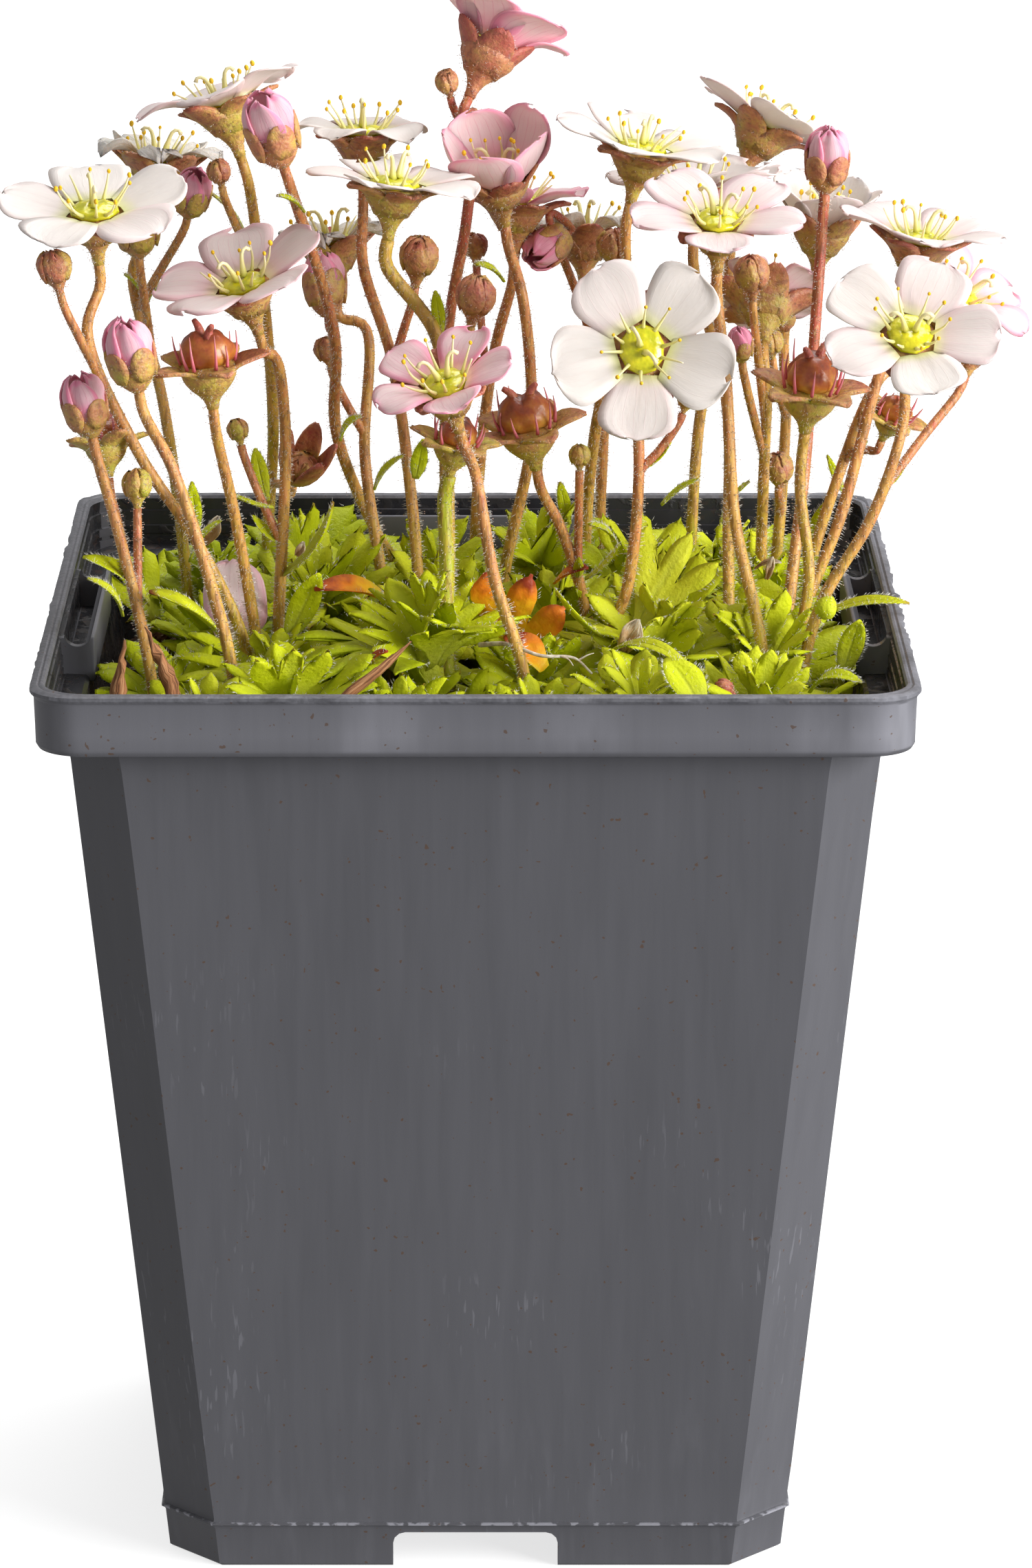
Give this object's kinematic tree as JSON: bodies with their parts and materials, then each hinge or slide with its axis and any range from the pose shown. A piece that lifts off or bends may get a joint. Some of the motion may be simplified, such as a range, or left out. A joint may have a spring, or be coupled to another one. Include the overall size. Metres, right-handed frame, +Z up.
{
  "type": "potted mossy saxifrage",
  "caption": "Mossy saxifrage in a deep square plastic nursery pot: a cushion of lobed leaves under thin branching stalks with white and pink flowers and buds.",
  "frame": {"origin": "middle of the flat pad under the pot, level with the foot that the pot stands on", "axes": "+Z up from the foot to the flowers, +X to the right and +Y to the back as the picture shows the pot"},
  "size_m": [0.1085, 0.09, 0.1596],
  "materials": {
    "pot_plastic": "satin",
    "compost": "matte",
    "leaf": "satin",
    "stalk": "satin",
    "petal_white": "satin",
    "petal_pink": "satin"
  },
  "bodies": {
    "root": {"pot": "pot_plastic", "soil": "compost", "cushion_front_left": "leaf", "cushion_front_middle": "leaf", "cushion_front_right": "leaf", "cushion_back_left": "leaf", "cushion_back_middle": "leaf", "cushion_back_right": "leaf", "stalk_01": "stalk", "petals_01": "petal_white", "stalk_02": "stalk", "stalk_03": "stalk", "stalk_04": "stalk", "petals_04": "petal_white", "stalk_05": "stalk", "petals_05": "petal_white", "stalk_06": "stalk", "petals_06": "petal_white", "stalk_07": "stalk", "stalk_08": "stalk", "petals_08": "petal_white", "stalk_09": "stalk", "petals_09": "petal_white", "stalk_10": "stalk", "petals_10": "petal_white", "stalk_11": "stalk", "petals_11": "petal_pink", "stalk_12": "stalk", "stalk_13": "stalk", "petals_13": "petal_pink", "stalk_14": "stalk", "petals_14": "petal_pink", "stalk_15": "stalk", "petals_15": "petal_pink", "stalk_16": "stalk", "stalk_17": "stalk", "petals_17": "petal_white", "stalk_18": "stalk", "petals_18": "petal_white", "stalk_19": "stalk", "petals_19": "petal_white", "stalk_20": "stalk", "petals_20": "petal_white", "stalk_21": "stalk", "petals_21": "petal_white", "stalk_22": "stalk", "petals_22": "petal_white", "stalk_23": "stalk", "petals_23": "petal_white", "stalk_24": "stalk", "stalk_25": "stalk", "petals_25": "petal_white", "stalk_26": "stalk", "stalk_27": "stalk", "petals_27": "petal_white", "stalk_28": "stalk", "stalk_29": "stalk", "petals_29": "petal_white", "stalk_30": "stalk", "petals_30": "petal_pink"}
  },
  "joints": []
}
